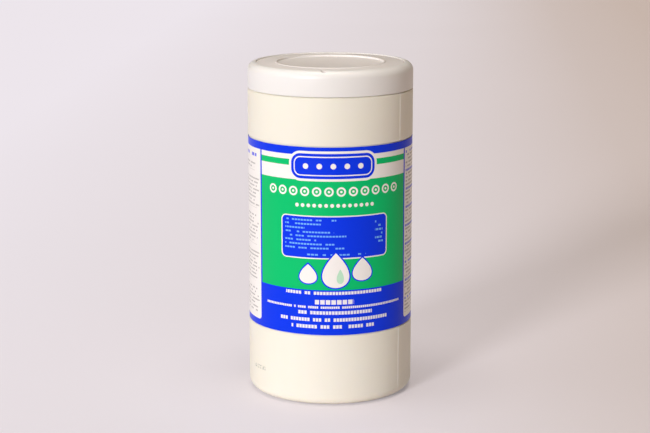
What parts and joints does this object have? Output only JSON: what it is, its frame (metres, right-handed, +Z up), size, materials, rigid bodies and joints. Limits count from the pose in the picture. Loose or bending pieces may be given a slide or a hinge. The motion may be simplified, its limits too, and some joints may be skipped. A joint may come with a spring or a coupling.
{
  "type": "canister of disinfecting wipes",
  "caption": "Round plastic canister with a wrap label, a centre-pull roll of moist wipes inside and a push-on lid with a slit outlet under a hinged flip cap.",
  "frame": {"origin": "centre of the canister's foot ring, on the surface it stands on", "axes": "+Z up along the canister's axis, -Y towards the thumb notch at the front, the cap's hinge line along X at the rear"},
  "size_m": [0.102, 0.102, 0.2057],
  "materials": {
    "canister_plastic": "satin blown polyethylene, slightly translucent cream white",
    "label_print": "printed film label, semi-gloss, green, blue and white fields",
    "wipe_fabric": "moist white nonwoven",
    "lid_plastic": "satin moulded polypropylene, cool white"
  },
  "bodies": {
    "canister": {"canister_body": "canister_plastic", "label_wrap": "label_print", "wipe_roll": "wipe_fabric"},
    "lid": {"dispensing_lid": "lid_plastic"},
    "cap": {"flip_cap": "lid_plastic"}
  },
  "joints": [
    {"name": "lid_lift", "type": "slide", "parent": "canister", "child": "lid", "axis": [0, 0, 1], "range_m": [0, 0.06]},
    {"name": "cap_hinge", "type": "hinge", "parent": "lid", "child": "cap", "pos_m": [0, 0.04315, 0.2055], "axis": [-1, 0, 0], "range_deg": [0, 150]}
  ]
}
